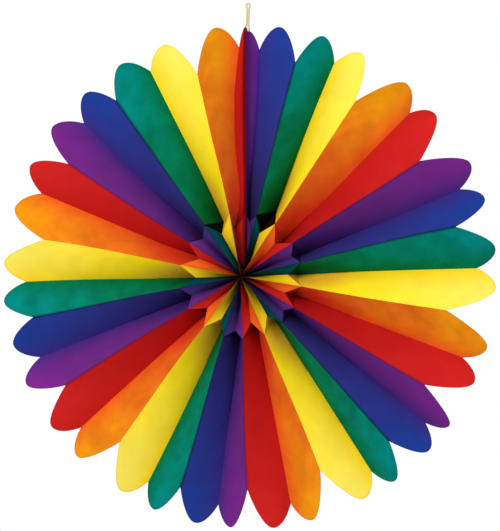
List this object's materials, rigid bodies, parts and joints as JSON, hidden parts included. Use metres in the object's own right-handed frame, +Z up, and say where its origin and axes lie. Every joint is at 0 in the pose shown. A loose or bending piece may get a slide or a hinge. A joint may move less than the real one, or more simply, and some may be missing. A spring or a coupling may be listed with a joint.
{
  "type": "paper fan rosette",
  "caption": "Open round fan of folded paper leaves in rainbow order, each cut to a rounded tip, with a short cord loop at the top to hang it by.",
  "frame": {"origin": "top of the hanging loop, in the middle of the cord", "axes": "+Z up, the fan hangs below the origin in the XZ plane and its front faces -Y"},
  "size_m": [0.5996, 0.0857, 0.6269],
  "materials": {
    "paper_purple": "matte dyed paper",
    "paper_blue": "matte dyed paper",
    "paper_green": "matte dyed paper",
    "paper_yellow": "matte dyed paper",
    "paper_orange": "matte dyed paper",
    "paper_red": "matte dyed paper",
    "card": "plain dark card",
    "cord": "pale twisted cord"
  },
  "bodies": {
    "root": {"end_card_left": "card", "end_card_right": "card", "hanging_cord": "cord", "leaf_01_purple": "paper_purple", "leaf_02_blue": "paper_blue", "leaf_03_green": "paper_green", "leaf_04_yellow": "paper_yellow", "leaf_05_orange": "paper_orange", "leaf_06_red": "paper_red", "leaf_07_purple": "paper_purple", "leaf_08_blue": "paper_blue", "leaf_09_green": "paper_green", "leaf_10_yellow": "paper_yellow", "leaf_11_orange": "paper_orange", "leaf_12_red": "paper_red", "leaf_13_purple": "paper_purple", "leaf_14_blue": "paper_blue", "leaf_15_green": "paper_green", "leaf_16_yellow": "paper_yellow", "leaf_17_orange": "paper_orange", "leaf_18_red": "paper_red", "leaf_19_purple": "paper_purple", "leaf_20_blue": "paper_blue", "leaf_21_green": "paper_green", "leaf_22_yellow": "paper_yellow", "leaf_23_orange": "paper_orange", "leaf_24_red": "paper_red", "leaf_25_purple": "paper_purple", "leaf_26_blue": "paper_blue", "leaf_27_green": "paper_green", "leaf_28_yellow": "paper_yellow", "leaf_29_orange": "paper_orange", "leaf_30_red": "paper_red", "leaf_31_purple": "paper_purple", "leaf_32_blue": "paper_blue", "leaf_33_green": "paper_green", "leaf_34_yellow": "paper_yellow", "leaf_35_orange": "paper_orange", "leaf_36_red": "paper_red"}
  },
  "joints": []
}
